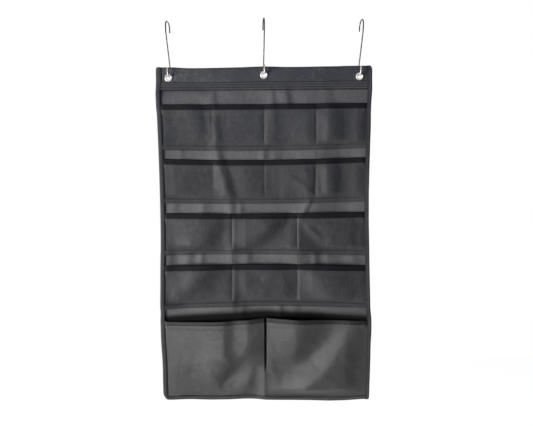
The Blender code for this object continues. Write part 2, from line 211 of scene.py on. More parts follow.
# Short folds of the bare cloth above each row and above the large pockets, by the drops between
# which they run, as (top end, foot end, left width, right width, lift)
BAND_FOLDS = {
    (62, 88): (
        (18, 20, 14, 6, 1.8), (50, 54, 24, 9, 3.2), (98, 100, 30, 30, 2.2), (140, 146, 14, 16, 1.9),
    ),
    (198, 214): ((-198, -200, 10, 8, 1.3), (0, -1, 12, 7, 1.6), (24, 26, 12, 14, 1.3)),
    (322, 340): ((-216, -217, 14, 8, 0.7), (-146, -148, 12, 12, 1.4), (-58, -59, 5, 7, 1.3)),
    (445, 463): (
        (-230, -230, 14, 9, 1.4), (-184, -186, 16, 12, 2.0), (-152, -154, 8, 8, 1.6), (-40, -42, 16, 8, 2.0),
        (118, 120, 10, 9, 2.2), (151, 153, 14, 22, 2.3), (208, 210, 20, 14, 1.9),
    ),
    (572, 590): ((-56, -58, 10, 9, 1.9), (34, 36, 12, 6, 1.9), (70, 66, 16, 12, 1.6)),
}
for (start, end), band in BAND_FOLDS.items():
    BODY_FOLDS += [Fold(((top, start), (foot, end)), *look) for top, foot, *look in band]

# Folds of the four mesh rows, from the top one down
ROW_FOLDS = (
    (
        Fold(((-156, 104), (-150, 150)), 34, 14, 2.2),
        Fold(((-120, 104), (-114, 180)), 9, 12, 3.4),
        Fold(((4, 104), (3, 182)), 20, 26, 4.4),
        Fold(((84, 104), (96, 182)), 30, 20, 1.6),
        Fold(((121, 130), (124, 182)), 26, 7, 3.0),
        Fold(((156, 104), (160, 182)), 30, 34, 7.0),
        Fold(((228, 110), (230, 182)), 30, 24, 4.0),
    ),
    (
        Fold(((-208, 235), (-214, 300)), 34, 44, 2.0),
        Fold(((-112, 232), (-102, 258), (-82, 304)), 24, 14, 2.6),
        Fold(((-45, 236), (-40, 300)), 22, 34, 2.2),
        Fold(((-1, 236), (-1, 300)), 12, 8, 2.4),
        Fold(((60, 236), (50, 300)), 26, 30, 1.6),
        Fold(((118, 250), (121, 302)), 36, 8, 4.8),
        Fold(((82, 272), (98, 284), (116, 302)), 9, 7, 1.8),
        Fold(((152, 232), (158, 296)), 26, 26, 7.0),
        Fold(((228, 236), (232, 300)), 36, 14, 3.0),
    ),
    (
        Fold(((-106, 340), (-132, 374), (-154, 424)), 60, 26, 7.0),
        Fold(((-80, 358), (-79, 432)), 22, 8, 3.0),
        Fold(((40, 350), (6, 374), (-46, 418)), 52, (15, 22, 24), (6.0, 11.0, 6.0)),
        Fold(((76, 358), (76, 434)), (14, 34), 8, (3.0, 6.4)),
        Fold(((84, 360), (102, 376), (124, 396)), 10, 9, 3.4),
        Fold(((104, 354), (138, 372), (158, 400), (166, 430)), 20, 70, 7.0),
        Fold(((238, 395), (240, 432)), 14, 6, 3.0),
    ),
    (
        Fold(((-130, 470), (-166, 502), (-204, 538)), 36, 25, (6.0, 8.0, 6.0)),
        Fold(((-76, 484), (-76, 554)), 26, 7, 4.0),
        Fold(((-62, 482), (-46, 520)), 18, 20, 3.0),
        Fold(((-6, 524), (-10, 556)), 34, 20, 2.6),
        Fold(((46, 482), (44, 552)), 44, 32, 2.6),
        Fold(((79, 484), (80, 556)), 8, 16, 1.4),
        Fold(((108, 472), (136, 512), (168, 556)), 34, 56, (7.0, 9.0, 9.0)),
        Fold(((236, 500), (240, 545)), 18, 8, 3.4),
    ),
)

# Folds of the two large pockets
LARGE_FOLDS = {
    "left": (
        Fold(((-104, 600), (-104, 652), (-98, 686)), 76, 23, (3.2, 3.8, 3.0), 1.7),
        Fold(((-74, 600), (-74, 652), (-78, 680)), 18, 22, -1.6),
        Fold(((-43, 600), (-43, 660), (-34, 700)), 22, 34, 3.6, 1.6),
        Fold(((-34, 704), (-40, 740), (-50, 786)), 44, 17, (2.0, 3.4, 3.0), 1.7),
        Fold(((-64, 676), (-96, 698), (-126, 734)), 46, 30, (3.0, 5.6, 5.6)),
        Fold(((-38, 704), (-66, 722), (-92, 758)), 20, 28, -5.0),
    ),
    "right": (
        Fold(((70, 596), (72, 650), (66, 690)), 60, 32, (5.4, 6.0, 3.6), 1.5),
        Fold(
            ((168, 600), (146, 650), (110, 692), (60, 722), (22, 738)), 46, 34,
            (-4.0, -7.0, -8.0, -5.0, -1.0),
        ),
        Fold(
            ((210, 600), (196, 645), (172, 690), (138, 732), (96, 766), (46, 796)), 34, 104,
            (1.5, 4.5, 9.5, 17.0, 20.0, 13.0),
        ),
        Fold(((230, 764), (205, 785)), 6, 6, 2.4),
    ),
}

# How far each large pocket's rim stands forward, as (place, share of its gape) across the pocket
LARGE_MOUTHS = {
    "left": (
        (-0.240, 0.0), (-0.205, 0.12), (-0.165, 0.28), (-0.108, 0.44), (-0.060, 0.52), (-0.042, 0.50),
        (0.0, 0.36),
    ),
    "right": (
        (0.0, 0.29), (0.030, 0.58), (0.075, 0.95), (0.105, 1.0), (0.135, 0.86), (0.165, 0.62),
        (0.195, 0.38), (0.220, 0.19), (0.240, 0.03),
    ),
}

# Height of the large pockets' turned rims, and how far each pocket sags at its middle
LARGE_RIM_HEIGHT = 0.010
LARGE_SAGS = {"left": 0.0046, "right": 0.0005}

# The slit between the two large pockets: how far from the middle their seams and its sides begin,
# how wide each side of it is, and from which share of their height up to which it opens
SLIT_SEAM = 0.0008
SLIT_EDGE = 0.0006
SLIT = 0.0026
SLIT_OPENS = (0.30, 0.40)

# Wire of the hooks, bent as (distance behind the eyelet, height over its middle)
WIRE = 0.003
HOOK_LOWER = (0.0, 0.0124, 0.010)
HOOK_UPPER_RADIUS = 0.013
HOOK_LEG = 0.0214
HOOK_TIP = 0.009
HOOK_KINK_DROP = 0.029
HOOK_TOP = 0.1309

# How each hook stands in its eyelet: its lean to the side and its turn about the upright in
# degrees, and its distance to the side of the eyelet's middle
HOOK_STANCES = {"left": (-0.9, -8.0, 0.0012), "centre": (0.0, 8.0, 0.0), "right": (2.0, 8.0, 0.0)}

# Turned rings as (radius, distance in front of the panel), from the front of the outer edge round
EYELET_PROFILE = (
    (0.00875, 0.0022), (0.00870, 0.0028), (0.00810, 0.0032), (0.00700, 0.0034), (0.00610, 0.0031),
    (0.00545, 0.0026), (0.00510, 0.0019), (0.00500, 0.0008), (0.00500, -0.0026), (0.00515, -0.0032),
    (0.00560, -0.0036), (0.00640, -0.0037), (0.00710, -0.0034), (0.00740, -0.0029), (0.00710, -0.0028),
    (0.00590, -0.0027), (0.00570, -0.0024), (0.00570, 0.0016), (0.00600, 0.0020), (0.00780, 0.0021),
)
WASHER_PROFILE = (
    (0.00870, -0.0020), (0.00875, -0.0023), (0.00860, -0.0026), (0.00800, -0.0027), (0.00640, -0.0026),
    (0.00605, -0.0024), (0.00600, -0.0021), (0.00640, -0.0020),
)


def length_of(name, description, default):
    return FloatProperty(name=name, description=description, default=default, unit="LENGTH")


def colour_of(name, description, default):
    return FloatVectorProperty(name=name, description=description, default=default, subtype="COLOR")


def power_of(name, description, default):
    return FloatProperty(name=name, description=description, default=default, unit="POWER")


class OrganiserSizes(bpy.types.PropertyGroup):
    """Sizes that a maker may change."""

    cloth_cell: length_of("Cloth cell", "Squares that the large cloths are modelled in", 0.004)
    weave_pitch: length_of("Weave pitch", "From thread to thread of the woven cloth", 0.0011)
    net_pitch: length_of("Net pitch", "From hole to hole of the mesh, along a row", 0.0052)
    rib_pitch: length_of("Rib pitch", "From rib to rib of the tapes", 0.0013)
    stitch_pitch: length_of("Stitch pitch", "From stitch to stitch", 0.0052)
    stitch_length: length_of("Stitch length", "Length of thread that one stitch shows", 0.0029)
    thread_width: length_of("Thread width", "Width of the sewing thread", 0.0017)
    billow: length_of("Billow", "Depth of the hung panel's broad waves", 0.0016)
    crumple: length_of("Crumple", "Depth of the small unevenness of all cloth", 0.0009)
    row_gapes: FloatVectorProperty(
        name="Row gapes", size=4, default=(0.0020, 0.0022, 0.0026, 0.0060), unit="LENGTH",
        description="How far the rims of the mesh rows stand forward, from the top row down",
    )
    left_gape: length_of("Left gape", "How far the left large pocket gapes", 0.0130)
    right_gape: length_of("Right gape", "How far the right large pocket gapes", 0.0140)


class OrganiserColours(bpy.types.PropertyGroup):
    """Colours of the finishes."""

    cloth: colour_of("Cloth", "Woven cloth of the large pockets", (0.048, 0.047, 0.047))
    panel: colour_of("Panel cloth", "Woven cloth of the panel", (0.100, 0.096, 0.099))
    # The hem is the woven cloth painted darker and bluer, painted shade for the dimmer light at the top
    hem: colour_of("Hem cloth", "Woven cloth of the top hem", (0.038, 0.039, 0.044))
    # The large pockets' turned rims are the woven cloth painted darker, as painted shade
    turned: colour_of("Turned cloth", "Cloth turned over at the large pockets' rims", (0.022, 0.021, 0.021))
    net: colour_of("Net", "Mesh", (0.052, 0.052, 0.055))
    rim: colour_of("Rim tape", "Tape over the rims of the rows", (0.010, 0.010, 0.013))
    tape: colour_of("Binding tape", "Tape across the hem and the feet of the rows", (0.054, 0.054, 0.057))
    edge: colour_of("Edge tape", "Tape round the panel's edges", (0.060, 0.060, 0.064))
    thread: colour_of("Thread", "Thread of the tapes and hems", (0.004, 0.004, 0.005))
    # Seam threads painted light grey, a painted highlight along the seams, fainter in the upper rows
    upper_seam_highlight: colour_of("Upper seams", "Thread between the pockets of rows 1 and 2", (0.105, 0.100, 0.100))
    lower_seam_highlight: colour_of("Lower seams", "Thread between the pockets of rows 3 and 4", (0.22, 0.21, 0.21))
    nickel: colour_of("Nickel", "Eyelets and washers", (0.72, 0.69, 0.65))
    # The hooks are painted bright below the hem's top, a painted reflection, and dark above it, painted shade
    wire: colour_of("Wire", "Hooks below the hem's top, painted bright as a reflection", (0.66, 0.60, 0.57))
    shaded_wire: colour_of("Dull wire", "Hooks above the hem", (0.050, 0.044, 0.042))


class OrganiserStudio(bpy.types.PropertyGroup):
    """Lamps and floor."""

    key_power: power_of("Key power", "Power of the lamp at the left", 2500.0)
    low_power: power_of("Low power", "Power of the lamp at the foot", 3.0)
    top_power: power_of("Top power", "Power of the lamp overhead", 2.2)
    rear_power: power_of("Rear power", "Power of the lamp behind", 16.0)
    floor_drop: length_of("Floor drop", "From the panel's foot down to the floor", 0.80)


def set_aside():
    """Leaves nothing selected, so that the next operator acts on new work alone."""
    bpy.ops.object.select_all(action="DESELECT")


def take(piece):
    """Selects one piece alone and makes it the active one."""
    set_aside()
    piece.select_set(True)
    bpy.context.view_layer.objects.active = piece


def named(name):
    """Names the piece that has just been added."""
    piece = bpy.context.object
    piece.name = piece.data.name = name
    return piece


def place_in_mesh(piece):
    """Puts the piece's place, turn and scale into its mesh."""
    take(piece)
    bpy.ops.object.transform_apply(location=True, rotation=True, scale=True)


def apply_modifier(piece, kind, **settings):
    take(piece)
    modifier = piece.modifiers.new(kind.lower(), kind)
    for setting, value in settings.items():
        setattr(modifier, setting, value)
    bpy.ops.object.modifier_apply(modifier=modifier.name)


def smooth(piece, degrees=50.0):
    take(piece)
    bpy.ops.object.shade_smooth_by_angle(angle=math.radians(degrees))


def joined(pieces, name):
    """One piece out of several."""
    take(pieces[0])
    for piece in pieces[1:]:
        piece.select_set(True)
    bpy.ops.object.join()
    return named(name)


def read_points(piece):
    flat = np.empty(3 * len(piece.data.vertices))
    piece.data.vertices.foreach_get("co", flat)
    return flat.reshape(-1, 3)


def write_points(piece, points):
    piece.data.vertices.foreach_set("co", np.ascontiguousarray(points).ravel())
    piece.data.update()


def ease(share):
    """Smooth step from 0 to 1."""
    share = np.clip(share, 0.0, 1.0)
    return share * share * (3.0 - 2.0 * share)


def through(line, places):
    """Height of a smooth line through (place, height) points, at each of the places."""
    known, heights = (np.array(column) for column in zip(*line))
    slopes = np.gradient(heights, known)
    places = np.clip(places, known[0], known[-1])
    i = np.clip(np.searchsorted(known, places) - 1, 0, len(known) - 2)
    step = known[i + 1] - known[i]
    t = (places - known[i]) / step
    ends = heights[i] + (heights[i + 1] - heights[i]) * t * t * (3 - 2 * t)
    return ends + step * (slopes[i] * t * (1 - t) ** 2 - slopes[i + 1] * t * t * (1 - t))


def lift_of(folds, x, drop):
    """How far soft folds lift the cloth at each place."""
    total = np.zeros(len(x))
    for fold in folds:
        points = np.array(fold.ridge) / 1000
        lengths = np.hypot(*np.diff(points, axis=0).T)
        runs = np.append(0.0, np.cumsum(lengths))
        nearest = np.full(len(x), np.inf)
        for i, length in enumerate(lengths):
            way = (points[i + 1] - points[i]) / length
            along = (x - points[i, 0]) * way[0] + (drop - points[i, 1]) * way[1]
            across = (x - points[i, 0]) * way[1] - (drop - points[i, 1]) * way[0]
            over = np.maximum(-along, along - length)
            joint = np.where(along < 0, i > 0, i < len(lengths) - 1) & (over > 0)
            far = np.where(joint, np.hypot(across, over), np.abs(across))
            near = far < nearest
            nearest = np.where(near, far, nearest)
            if i == 0:
                side, run, beyond = across, along, over
            else:
                side, run, beyond = (
                    np.where(near, new, known)
                    for new, known in ((across, side), (runs[i] + along, run), (over, beyond))
                )
        left, right, lift = (
            np.interp(run, runs, np.broadcast_to(sizes, len(points))) / 1000 for sizes in fold[1:4]
        )
        outside = np.where((run < 0) | (run > runs[-1]), np.maximum(beyond, 0.0), 0.0)
        fade = outside / min(0.4 * runs[-1], 0.02)
        total += lift * np.exp(-((nearest / np.where(side < 0, left, right)) ** fold.form) - fade**2)
    return total


def unevenness(x, z, size, layer):
    """Cloudy unevenness from -1 to 1 of about that size."""
    return np.array([noise.noise(Vector((a / size, layer, b / size))) for a, b in zip(x, z)])


def far_from_eyelets(x, z):
    """0 beside an eyelet and 1 well away from them all."""
    away = np.ones(len(x))
    for eyelet in EYELETS.values():
        away *= ease((np.hypot(x - eyelet.x, z - eyelet.z) - EYELET_CALM) / EYELET_FADE)
    return away


def hang(points):
    """Where each point of the flat organiser goes when it hangs."""
    sizes = bpy.context.scene.organiser_sizes
    x, y, z = points.T
    drop = TOP - z
    away = far_from_eyelets(x, z)

    half = np.where(x < 0, through(LEFT_OUTLINE, drop), through(RIGHT_OUTLINE, drop))
    rises = [through([(d, column[i]) for d, column in RISES], drop) for i in range(3)]
    share = x / RISE_PLACES[2]
    up = rises[1] + (rises[2] - rises[0]) / 2 * share + ((rises[2] + rises[0]) / 2 - rises[1]) * share**2
    up += through(TOP_EDGE, x) * (1 - ease(drop / TOP_EDGE_DEPTH))
    up += through(FOOT_EDGE, x) * (1 - ease((z - BOTTOM) / FOOT_EDGE_DEPTH))

    waves = sum(
        depth * np.sin(2 * np.pi * (across * x + down * drop + start)) for depth, across, down, start in WAVES
    )
    depth, length, start = EDGE_WAVES
    curl = np.sin(2 * np.pi * (drop / length + start)) * np.abs(x / HALF_WIDTH) ** 6
    forward = sizes.billow * ease((drop - WAVES_START) / WAVES_GROWTH) * (waves + depth * curl)
    for depth, size, layer in CRUMPLES:
        forward += depth * sizes.crumple * unevenness(x, z, size, layer)
    forward += lift_of(BODY_FOLDS, x, drop)

    new_x = np.abs(x)
    new_z = z.copy()
    for (side, end), radius in CORNERS.items():
        ours = (np.sign(x) == side) & (new_x > HALF_WIDTH - radius)
        height = (z - TOP) if end > 0 else (BOTTOM - z)
        ours &= height > -radius
        u = (new_x - HALF_WIDTH + radius) / radius
        v = (height + radius) / radius
        narrower = HALF_WIDTH - radius + radius * u * np.sqrt(np.maximum(1 - v * v / 2, 0))
        new_x = np.where(ours, narrower, new_x)
        round_z = end * (radius * v * np.sqrt(np.maximum(1 - u * u / 2, 0)) - radius)
        new_z = np.where(ours, (TOP if end > 0 else BOTTOM) + round_z, new_z)
    new_x = np.sign(x) * new_x * half / HALF_WIDTH
    new_x = x + (new_x - x) * (EYELET_STRETCH + (1 - EYELET_STRETCH) * away)
    return np.column_stack((new_x, y - forward * away, new_z + up * away))


# How far the net of each row stands off to the right of a seam, and how soon it does
SEAM_PUFFS = (0.0003, 0.0003, 0.0007, 0.0007)
SEAM_GROOVE = 0.0036

# Shares of a pocket's height over which its folds and the puffs grow above its foot, and the
# distance from the binding over which the folds of a large pocket do
FOLDS_GROWTH = 0.14
PUFFS_GROWTH = 0.06
SIDE_GROWTH = 0.055

# Share of a fold's lift that the rim tapes of the rows pull flat, and the share of a row's height
# from which up they do
RIM_TENSION = 0.6
RIM_TENSION_START = 0.65

# How far below its rim the cloth begins to stand off for it, the height over which it does, and
# the distance from the binding over which it does
STANDOFF_DROP = 0.014
STANDOFF_GROWTH = 0.012
STANDOFF_SIDE = 0.004

# How far forward a pocket's cloth may bulge, and how softly it comes to rest there
POCKET_REACH = 0.0360
SOFTNESS = 0.0020

PocketParts = namedtuple(
    "PocketParts", "seams rim rim_height foot gape folds mouth sag puff", defaults=(None, 0.0, 0.0)
)


class PocketCloth(PocketParts):
    """Where pocket cloth lies, in front of the panel, at any place of the flat organiser. A large
    pocket gapes by the line of its mouth and a row evenly, with a puff of net beside each seam."""

    def lay(self, points):
        """Moves points that lie in front of the cloth's own layer on to the hung pocket."""
        x, y, z = points.T
        i = np.clip(np.searchsorted(self.seams, x) - 1, 0, len(self.seams) - 2)
        seam = self.seams[i]
        across = np.clip((x - seam) / (self.seams[i + 1] - seam), 0, 1)
        rise = np.clip((z - self.foot) / (self.rim(x) - self.foot), 0, 1)
        full = np.sin(np.pi * across) ** 0.9
        held = ease(rise / FOLDS_GROWTH)
        puff = ease((x - seam) / SEAM_GROOVE) * (1.0 - across) * (seam > self.seams[0])
        if self.mouth:
            slit = ease((rise - SLIT_OPENS[0]) / (SLIT_OPENS[1] - SLIT_OPENS[0]))
            closed = 1.0 - slit * (1.0 - ease((np.abs(x) - SLIT_EDGE) / SLIT))
            gaping = through(self.mouth, x) * closed
            held *= closed * ease((BINDING_INNER - np.abs(x)) / SIDE_GROWTH)
        else:
            gaping = full**1.3
            pulled = ease((rise - RIM_TENSION_START) / (1 - RIM_TENSION_START))
            held *= np.minimum(1.6 * full, 1.0) * (1.0 - RIM_TENSION * pulled)
        forward = self.gape * gaping * np.sin(np.pi / 2 * rise) ** 0.9
        forward += held * lift_of(self.folds, x, TOP - z)
        forward += self.puff * puff * ease(rise / PUFFS_GROWTH)
        spare = (POCKET_REACH - np.maximum(forward, 0.0)) / SOFTNESS
        forward = POCKET_REACH - SOFTNESS * np.logaddexp(0.0, spare)
        tape_foot = self.rim(x) - self.rim_height
        inside = ease((BINDING_INNER - np.abs(x)) / STANDOFF_SIDE)
        forward += RIM_STANDOFF * inside * ease((z - tape_foot + STANDOFF_DROP) / STANDOFF_GROWTH)
        return np.column_stack((x, y - forward, z - self.sag * full * rise**2))


def spread(edges, cell):
    """Places from edge to edge, about a cell apart, with one on every edge."""
    places = [np.linspace(a, b, max(1, round((b - a) / cell)) + 1)[:-1] for a, b in zip(edges, edges[1:])]
    return np.append(np.concatenate(places), edges[-1])


def cloth_grid(name, across, along):
    """Grid with a column at each place across and a row at each length along, and these as its
    UV map in metres. Gives the piece and the place across and length along of each point."""
    set_aside()
    bpy.ops.mesh.primitive_grid_add(x_subdivisions=len(across) - 1, y_subdivisions=len(along) - 1, size=1.0)
    piece = named(name)
    points = read_points(piece)
    column = np.rint((points[:, 0] + 0.5) * (len(across) - 1)).astype(int)
    row = np.rint((points[:, 1] + 0.5) * (len(along) - 1)).astype(int)
    lay = np.column_stack((across[column], along[row]))
    corners = np.empty(len(piece.data.loops), np.int32)
    piece.data.loops.foreach_get("vertex_index", corners)
    piece.data.uv_layers.active.data.foreach_set("uv", lay[corners].ravel())
    return piece, lay


def thicken(piece, thickness):
    apply_modifier(piece, "SOLIDIFY", thickness=thickness, offset=0.0, use_even_offset=True)


def flat_cloth(name, across, heights, front, thickness):
    """Cloth that lies flat, front in front of the panel's middle."""
    piece, lay = cloth_grid(name, across, heights)
    write_points(piece, np.column_stack((lay[:, 0], np.full(len(lay), -front), lay[:, 1])))
    thicken(piece, thickness)
    return piece


def folded_cloth(
    name, across, free_edge, fold_edge, half_gap, thickness, upright=False, rim=None, front=0.0
):
    """Cloth folded over an edge: a front leaf, a round fold and a back leaf. free_edge and
    fold_edge are heights, or places across where the fold is upright. rim moves the heights, and
    front brings all of it forward."""
    leaf = abs(fold_edge - free_edge) - half_gap - thickness / 2
    turn = np.pi * half_gap
    cells = max(3, round(leaf / FOLD_CELL))
    along = np.concatenate((
        np.linspace(0.0, leaf, cells + 1)[:-1],
        np.linspace(leaf, leaf + turn, FOLD_POINTS)[:-1],
        np.linspace(leaf + turn, 2 * leaf + turn, cells + 1),
    ))
    piece, lay = cloth_grid(name, across, along)
    place, length = lay.T
    angle = np.clip((length - leaf) / half_gap, 0.0, np.pi)
    reach = np.minimum(length, leaf) - np.maximum(length - leaf - turn, 0.0) + half_gap * np.sin(angle)
    edge = free_edge + math.copysign(1.0, fold_edge - free_edge) * reach
    if rim:
        edge += rim(place)
    x, z = (edge, place) if upright else (place, edge)
    write_points(piece, np.column_stack((x, -half_gap * np.cos(angle) - front, z)))
    thicken(piece, thickness)
    return piece


def drape(piece, *layers):
    """Lays a flat piece over the cloth that carries it, and hangs it with the panel."""
    points = read_points(piece)
    for layer in layers:
        points = layer.lay(points)
    write_points(piece, hang(points))
    smooth(piece)


def punch(piece):
    """Cuts the holes for the three eyelets."""
    for eyelet in EYELETS.values():
        set_aside()
        bpy.ops.mesh.primitive_cylinder_add(
            vertices=40, radius=EYELET_HOLE, depth=0.02, location=(eyelet.x, 0.0, eyelet.z),
            rotation=(math.pi / 2, 0.0, 0.0),
        )
        cutter = named("hole")
        place_in_mesh(cutter)
        apply_modifier(piece, "BOOLEAN", operation="DIFFERENCE", solver="EXACT", object=cutter)
        take(cutter)
        bpy.ops.object.delete()


def stitches(start, end, front):
    """Row of stitches from one (x, z) place to another, in front of the panel's middle."""
    sizes = bpy.context.scene.organiser_sizes
    way = Vector((end[0] - start[0], 0.0, end[1] - start[1]))
    count = max(1, int(way.length / sizes.stitch_pitch))
    step = way.normalized() * sizes.stitch_pitch
    set_aside()
    bpy.ops.mesh.primitive_uv_sphere_add(segments=6, ring_count=4, radius=0.5)
    stitch = named("stitch")
    stitch.scale = (sizes.thread_width, 0.7 * sizes.thread_width, sizes.stitch_length)
    stitch.rotation_euler = (0.0, math.atan2(way.x, way.z), 0.0)
    stitch.location = Vector((start[0], -front, start[1])) + step / 2
    place_in_mesh(stitch)
    apply_modifier(
        stitch, "ARRAY", count=count, use_relative_offset=False, use_constant_offset=True,
        constant_offset_displace=step,
    )
    return stitch


def ring(name, profile, centre):
    """Ring turned by hand: a circle drawn out edge by edge through (radius, front) places, and
    closed on itself."""
    set_aside()
    radius, front = profile[0]
    bpy.ops.mesh.primitive_circle_add(
        vertices=56, radius=radius, location=(0.0, -front, 0.0), rotation=(math.pi / 2, 0.0, 0.0)
    )
    piece = named(name)
    place_in_mesh(piece)
    bpy.ops.object.mode_set(mode="EDIT")
    bpy.ops.mesh.select_all(action="SELECT")
    for (old_radius, old_front), (radius, front) in zip(profile, profile[1:]):
        bpy.ops.mesh.extrude_edges_move(TRANSFORM_OT_translate={"value": (0.0, old_front - front, 0.0)})
        scale = radius / old_radius
        bpy.ops.transform.resize(value=(scale, 1.0, scale), center_override=(0.0, -front, 0.0))
    bpy.ops.mesh.select_all(action="DESELECT")
    bpy.ops.mesh.select_mode(type="EDGE")
    bpy.ops.mesh.select_non_manifold()
    bpy.ops.mesh.bridge_edge_loops()
    bpy.ops.mesh.select_all(action="SELECT")
    bpy.ops.mesh.remove_doubles(threshold=0.000001)
    bpy.ops.mesh.normals_make_consistent(inside=False)
    bpy.ops.object.mode_set(mode="OBJECT")
    piece.location = (centre.x, 0.0, centre.z)
    place_in_mesh(piece)
    smooth(piece, 40.0)
    return piece


def arc(centre, radius, start, end, count):
    turns = np.linspace(start, end, count)
    return [(centre[0] + radius * math.cos(a), centre[1] + radius * math.sin(a)) for a in turns]


def hook_line():
    """(back, up) places of the wire's middle from the lower loop's free leg to the upper tip."""
    lower, radius = HOOK_LOWER[:2], HOOK_LOWER[2]
    upper = (0.0, HOOK_TOP - WIRE / 2 - HOOK_UPPER_RADIUS)
    kink = (-HOOK_UPPER_RADIUS, HOOK_TOP - WIRE / 2 - HOOK_KINK_DROP)
    away = (kink[0] - lower[0], kink[1] - lower[1])
    leave = math.atan2(away[1], away[0]) - math.acos(radius / math.hypot(*away))
    line = [(-radius, HOOK_LEG), (-radius, (HOOK_LEG + lower[1]) / 2)]
    line += arc(lower, radius, math.pi, 2 * math.pi + leave, 25)
    last = line[-1]
    shank = (kink[0] - last[0], kink[1] - last[1])
    line += [(last[0] + shank[0] * t, last[1] + shank[1] * t) for t in (0.25, 0.5, 0.75, 0.96)]
    line += [(kink[0] - 0.0001, kink[1] + 0.001)]
    line += arc(upper, HOOK_UPPER_RADIUS, math.pi, 0.0, 19)
    line += [(HOOK_UPPER_RADIUS, upper[1] - HOOK_TIP / 2), (HOOK_UPPER_RADIUS, upper[1] - HOOK_TIP)]
    return line


def wire_hook(side):
    """S-hook bent from round wire, with its two ends filed round."""
    line = hook_line()
    set_aside()
    bpy.ops.curve.primitive_nurbs_path_add()
    hook = named(f"wire_hook_{side}")
    curve = hook.data
    curve.splines.clear()
    spline = curve.splines.new("POLY")
    spline.points.add(len(line) - 1)
    for point, (back, up) in zip(spline.points, line):
        point.co = (0.0, back, up, 1.0)
    curve.dimensions = "3D"
    curve.bevel_depth = WIRE / 2
    curve.bevel_resolution = 6
    curve.use_fill_caps = True
    lean, turn, aside = HOOK_STANCES[side]
    hook.location = (EYELETS[side].x + aside, 0.0, EYELETS[side].z)
    hook.rotation_euler = (0.0, math.radians(lean), math.radians(turn))
    take(hook)
    bpy.ops.object.convert(target="MESH")
    hook = bpy.context.object
    caps = [face.index for face in hook.data.polygons if len(face.vertices) > 4]
    bpy.ops.object.mode_set(mode="EDIT")
    bpy.ops.mesh.select_mode(type="FACE")
    bpy.ops.mesh.select_all(action="DESELECT")
    bpy.ops.object.mode_set(mode="OBJECT")
    for index in caps:
        hook.data.polygons[index].select = True
    bpy.ops.object.mode_set(mode="EDIT")
    bpy.ops.mesh.remove_doubles(threshold=0.000001)
    bpy.ops.mesh.bevel(offset=WIRE * 0.3, segments=3, affect="EDGES")
    bpy.ops.mesh.select_all(action="SELECT")
    bpy.ops.mesh.normals_make_consistent(inside=False)
    bpy.ops.object.mode_set(mode="OBJECT")
    place_in_mesh(hook)
    smooth(hook, 45.0)
    return hook


class Shade:
    """A number or colour on its way through a finish, so that its sums are written as sums."""

    def __init__(self, recipe, socket):
        self.recipe = recipe
        self.socket = socket

    def maths(self, operation, *values, **settings):
        return self.recipe.node("Math", dict(enumerate(values)), operation=operation, **settings)

    def __add__(self, other):
        return self.maths("ADD", self, other)

    def __sub__(self, other):
        return self.maths("SUBTRACT", self, other)

    def __rsub__(self, other):
        return self.maths("SUBTRACT", other, self)

    def __mul__(self, other):
        return self.maths("MULTIPLY", self, other)

    def __abs__(self):
        return self.maths("ABSOLUTE", self)

    __radd__ = __add__

    def sine(self):
        return self.maths("SINE", self)

    def clamped(self):
        return self.maths("ADD", self, 0.0, use_clamp=True)

    def step(self, low, high):
        """0 up to low and 1 from high, smoothly."""
        return self.recipe.node(
            "MapRange", {"Value": self, "From Min": low, "From Max": high}, interpolation_type="SMOOTHSTEP"
        )


class Recipe:
    """The nodes of one finish."""

    def __init__(self, material):
        self.material = material
        material.use_nodes = True
        self.tree = material.node_tree
        self.shader = self.tree.nodes["Principled BSDF"]

    def node(self, kind, sockets=(), output=0, **settings):
        """Adds a node, with its settings first and then the values or links of its sockets."""
        node = self.tree.nodes.new("ShaderNode" + kind)
        for setting, value in settings.items():
            setattr(node, setting, value)
        for key, value in dict(sockets).items():
            self.feed(node.inputs[key], value)
        return Shade(self, node.outputs[output])

    def feed(self, socket, value):
        if isinstance(value, Shade):
            self.tree.links.new(value.socket, socket)
        else:
            socket.default_value = value

    def finish(self, **values):
        """Sets the shader's sockets. base_color stands for Base Color, and so on."""
        for key, value in values.items():
            self.feed(self.shader.inputs[SOCKETS.get(key, key.replace("_", " ").title())], value)
        return self.material

    def surface(self, shade):
        """Makes a shader the one that shows."""
        self.feed(self.tree.nodes["Material Output"].inputs["Surface"], shade)

    def cloth_place(self):
        """Place on the flat cloth in metres, as a vector and as its two numbers."""
        place = self.node("UVMap")
        parts = self.node("SeparateXYZ", {0: place}).socket.node
        return place, Shade(self, parts.outputs[0]), Shade(self, parts.outputs[1])

    def object_place(self, scale=(1.0, 1.0, 1.0)):
        place = self.node("TexCoord", output="Object")
        return self.node("Mapping", {"Vector": place, "Scale": scale})

    def clouds(self, place, size, detail=2.0, squeeze=None):
        """Cloudy noise of about that size, round 0.5, or smaller by as much as it is squeezed."""
        if squeeze:
            place = self.node("Mapping", {"Vector": place, "Scale": squeeze})
        return self.node("TexNoise", {"Vector": place, "Scale": 1.0 / size, "Detail": detail})

    def tint(self, colour, amount):
        """A colour made lighter or darker by a number."""
        return self.node("VectorMath", {0: tuple(colour), "Scale": amount}, operation="SCALE")

    def bump(self, height, depth, under=None):
        sockets = {"Height": height, "Distance": depth, "Strength": 1.0}
        if under is not None:
            sockets["Normal"] = under
        return self.node("Bump", sockets)


SOCKETS = {"specular": "Specular IOR Level"}


def woven_height(u, v, pitch):
    """Height of a plain weave: 0 between its threads and 1 on top of one."""
    warp = (u * (math.pi / pitch)).sine()
    weft = (v * (math.pi / pitch)).sine()
    over = (warp * weft * 3.0 + 0.5).clamped()
    warp, weft = abs(warp), abs(weft)
    return warp * (weft * 0.4 + 0.6) * over + weft * (warp * 0.4 + 0.6) * (1.0 - over)


def fold_shadow(v, fold, width):
    """Mask of a painted shade line: 1 along a line that lies fold from the cloth's first edge, and 0 away
    from it.
    """
    return 1.0 - abs(v - fold).step(0.4 * width, width)


